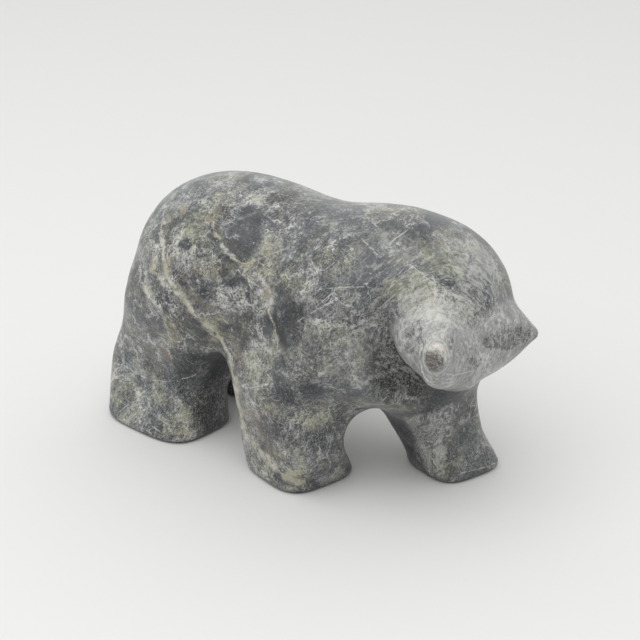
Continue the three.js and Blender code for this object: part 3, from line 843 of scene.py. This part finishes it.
    # Sheen and fine relief
    worn = board.math("MAXIMUM", scratch, board.math("MAXIMUM", hair, seamed))
    rough = board.math("ADD", board.math("MULTIPLY", worn, 0.5), board.math("MULTIPLY", mottle, 0.5), True)
    rough = board.add("ShaderNodeMapRange", {"Value": rough, "To Min": stone.sheen_low,
                                             "To Max": stone.sheen_high}).outputs[0]
    relief = board.summed((grain, 0.9), (mottle, 0.8), (worn, -0.5), (speck, -0.4), (chalky, 0.25))
    bump = board.add("ShaderNodeBump", {"Height": relief, "Strength": 0.6, "Distance": stone.bump_height})
    shader = board.add("ShaderNodeBsdfPrincipled", {"Base Color": colour, "Roughness": rough, "IOR": 1.5,
                                                    "Coat Weight": 0.2, "Coat Roughness": 0.3,
                                                    "Normal": bump.outputs[0]})
    board.add("ShaderNodeOutputMaterial", {"Surface": shader.outputs[0]})
    return material


def relief_tree():
    """Geometry nodes that sink soft waves and small hollows into a skin."""
    tree = bpy.data.node_groups.new("stone_relief", "GeometryNodeTree")
    for name, kind in (("Geometry", "NodeSocketGeometry"), ("Wave height", "NodeSocketFloat"),
                       ("Wave span", "NodeSocketFloat"), ("Pit depth", "NodeSocketFloat"),
                       ("Pit span", "NodeSocketFloat"), ("Seed", "NodeSocketInt"),
                       ("Stone", "NodeSocketMaterial")):
        tree.interface.new_socket(name, in_out="INPUT", socket_type=kind)
    tree.interface.new_socket("Geometry", in_out="OUTPUT", socket_type="NodeSocketGeometry")
    board = NodeBoard(tree)
    given = board.add("NodeGroupInput").outputs
    position = board.add("GeometryNodeInputPosition").outputs[0]
    normal = board.add("GeometryNodeInputNormal").outputs[0]
    sunk = None
    for height, span, detail in (("Wave height", "Wave span", 1.0), ("Pit depth", "Pit span", 2.0)):
        scale = board.math("DIVIDE", 1.0, given[span])
        noise = board.add("ShaderNodeTexNoise", {"Vector": position, "Scale": scale, "Detail": detail,
                                                 "W": given["Seed"]}, noise_dimensions="4D").outputs["Fac"]
        depth = board.math("MULTIPLY", board.math("SUBTRACT", noise, 1.0), given[height])
        sunk = depth if sunk is None else board.math("ADD", sunk, depth)
    height_up = board.add("ShaderNodeSeparateXYZ", {0: position}).outputs[2]
    lifted = board.step(height_up, RELIEF_FADE[0] * MM, RELIEF_FADE[1] * MM)
    offset = board.scaled(normal, board.math("MULTIPLY", sunk, lifted))
    moved = board.add("GeometryNodeSetPosition", {"Geometry": given["Geometry"], "Offset": offset})
    real = board.add("GeometryNodeRealizeInstances", {"Geometry": moved.outputs[0]})
    finished = board.add("GeometryNodeSetMaterial", {"Geometry": real.outputs[0], "Material": given["Stone"]})
    board.add("NodeGroupOutput", {"Geometry": finished.outputs[0]})
    return tree


def evaluated_mesh(obj, name):
    depsgraph = bpy.context.evaluated_depsgraph_get()
    mesh = bpy.data.meshes.new_from_object(obj.evaluated_get(depsgraph), depsgraph=depsgraph)
    mesh.name = name
    return mesh


def fine_skin(node, sizes):
    """A merged copy of the plain solid, divided and settled on the fine skin."""
    mesh = node.data.copy()
    mesh.materials.clear()
    work = bmesh.new()
    work.from_mesh(mesh)
    bmesh.ops.remove_doubles(work, verts=work.verts, dist=0.001 * MM)
    bmesh.ops.join_triangles(work, faces=work.faces, angle_face_threshold=math.radians(60),
                             angle_shape_threshold=math.radians(120))
    work.to_mesh(mesh)
    work.free()
    obj = bpy.data.objects.new("bear_rough", mesh)
    bpy.context.scene.collection.objects.link(obj)
    divide = obj.modifiers.new("divide", "SUBSURF")
    divide.levels = divide.render_levels = DIVISIONS
    fine = evaluated_mesh(obj, "bear_stone")
    bpy.data.objects.remove(obj)
    work = bmesh.new()
    work.from_mesh(fine)
    middle, reach = FACE_PATCH
    middle = Vector(middle) * MM
    edges = {e for f in work.faces if (f.calc_center_median() - middle).length < reach * MM for e in f.edges}
    bmesh.ops.subdivide_edges(work, edges=list(edges), cuts=1, use_grid_fill=True)
    bmesh.ops.triangulate(work, faces=[f for f in work.faces if len(f.verts) > 4])
    work.to_mesh(fine)
    work.free()
    points = np.empty(len(fine.vertices) * 3)
    fine.vertices.foreach_get("co", points)
    points = settled(points.reshape(-1, 3) / MM, sizes)
    fine.vertices.foreach_set("co", (points * MM).ravel())
    mark_stone(fine, points)
    fine.update()
    return fine


class BEAR_OT_carve(bpy.types.Operator):
    """Carve the bear's fine skin and give it its stone"""

    bl_idname = "bear_carving.carve"
    bl_label = "Carve the bear"

    def execute(self, context):
        sizes = context.scene.bear_carving
        skin = fine_skin(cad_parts["bear"], sizes)
        obj = bpy.data.objects.new("bear_stone", skin)
        context.scene.collection.objects.link(obj)
        relief = obj.modifiers.new("relief", "NODES")
        relief.node_group = relief_tree()
        stone = stone_material(context.scene.bear_stone)
        values = {"Wave height": sizes.wave_height, "Wave span": sizes.wave_span,
                  "Pit depth": sizes.pit_depth, "Pit span": sizes.pit_span,
                  "Seed": sizes.relief_seed, "Stone": stone}
        for item in relief.node_group.interface.items_tree:
            if item.in_out == "INPUT" and item.name in values:
                relief[item.identifier] = values[item.name]
        finished = evaluated_mesh(obj, "bear_stone_skin")
        obj.modifiers.clear()
        obj.data = finished
        finished.shade_smooth()
        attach(obj, "root")
        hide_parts("bear")
        return {"FINISHED"}


class BEAR_OT_stage(bpy.types.Operator):
    """Set the floor, the light and the camera round the bear"""

    bl_idname = "bear_carving.stage"
    bl_label = "Set the studio"

    def execute(self, context):
        stage = context.scene.bear_stage
        corners = [(x * FLOOR_HALF, y * FLOOR_HALF, 0) for x, y in ((-1, -1), (1, -1), (1, 1), (-1, 1))]
        mesh = bpy.data.meshes.new("floor")
        mesh.from_pydata(corners, [], [(0, 1, 2, 3)])
        floor = bpy.data.objects.new("floor", mesh)
        context.scene.collection.objects.link(floor)
        paint = bpy.data.materials.new("floor_paint")
        paint.use_nodes = True
        shader = paint.node_tree.nodes["Principled BSDF"]
        shader.inputs["Base Color"].default_value = stage.floor_colour
        shader.inputs["Roughness"].default_value = FLOOR_ROUGHNESS
        mesh.materials.append(paint)

        room = bpy.data.worlds.new("white_room")
        room.use_nodes = True
        sky = room.node_tree.nodes["Background"]
        sky.inputs["Color"].default_value = (1.0, 1.0, 0.99, 1.0)
        board = NodeBoard(room.node_tree)
        direction = board.add("ShaderNodeTexCoord").outputs["Generated"]
        behind = (-math.sin(stage.azimuth), math.cos(stage.azimuth), 0.4)
        turned = board.add("ShaderNodeVectorMath", {0: direction, 1: behind}, operation="DOT_PRODUCT")
        level = board.add("ShaderNodeMapRange", {"Value": turned.outputs["Value"],
                                                 "From Min": -0.9, "From Max": 0.9,
                                                 "To Min": stage.front_light,
                                                 "To Max": stage.back_light}).outputs[0]
        board.feed(sky.inputs["Strength"], level)
        context.scene.world = room

        lamp = bpy.data.lights.new("key_light", "AREA")
        lamp.shape = "SQUARE"
        lamp.size = stage.key_size
        lamp.energy = stage.key_light
        light = bpy.data.objects.new("key_light", lamp)
        light.location = stage.key_place
        light.rotation_euler = Vector(stage.key_place).to_track_quat("Z", "Y").to_euler()
        context.scene.collection.objects.link(light)

        lens = bpy.data.cameras.new("camera")
        lens.sensor_fit = "HORIZONTAL"
        lens.sensor_width = SENSOR_WIDTH
        lens.lens = lens.sensor_width * stage.focal_pixels / PHOTO_SIDE
        lens.clip_start = 0.01
        camera = bpy.data.objects.new("camera", lens)
        context.scene.collection.objects.link(camera)
        level = math.cos(stage.elevation)
        aim = Vector((math.sin(stage.azimuth) * level, -math.cos(stage.azimuth) * level,
                      math.sin(stage.elevation)))
        camera.location = Vector(stage.look_at) + aim * stage.distance
        camera.rotation_euler = (-aim).to_track_quat("-Z", "Y").to_euler()
        context.scene.camera = camera
        context.scene.view_settings.view_transform = "Standard"
        return {"FINISHED"}


class BEAR_PT_sidebar(bpy.types.Panel):
    """Lists the carving's sizes, colours and steps"""

    bl_idname = "BEAR_PT_sidebar"
    bl_label = "Bear carving"
    bl_space_type = "VIEW_3D"
    bl_region_type = "UI"
    bl_category = "Bear"

    def draw(self, context):
        for group, operator in (("bear_carving", None), ("bear_stone", BEAR_OT_carve),
                                ("bear_stage", BEAR_OT_stage)):
            settings = getattr(context.scene, group)
            for name in settings.__annotations__:
                self.layout.prop(settings, name)
            if operator:
                self.layout.operator(operator.bl_idname)


CLASSES = (BearCarving, BearStone, BearStage, BEAR_OT_carve, BEAR_OT_stage, BEAR_PT_sidebar)


def register():
    for item in CLASSES:
        bpy.utils.register_class(item)
    bpy.types.Scene.bear_carving = PointerProperty(type=BearCarving)
    bpy.types.Scene.bear_stone = PointerProperty(type=BearStone)
    bpy.types.Scene.bear_stage = PointerProperty(type=BearStage)


def unregister():
    del bpy.types.Scene.bear_stage
    del bpy.types.Scene.bear_stone
    del bpy.types.Scene.bear_carving
    for item in reversed(CLASSES):
        bpy.utils.unregister_class(item)


def main():
    register()
    bpy.ops.bear_carving.carve()
    bpy.ops.bear_carving.stage()


if __name__ == "__main__":
    main()
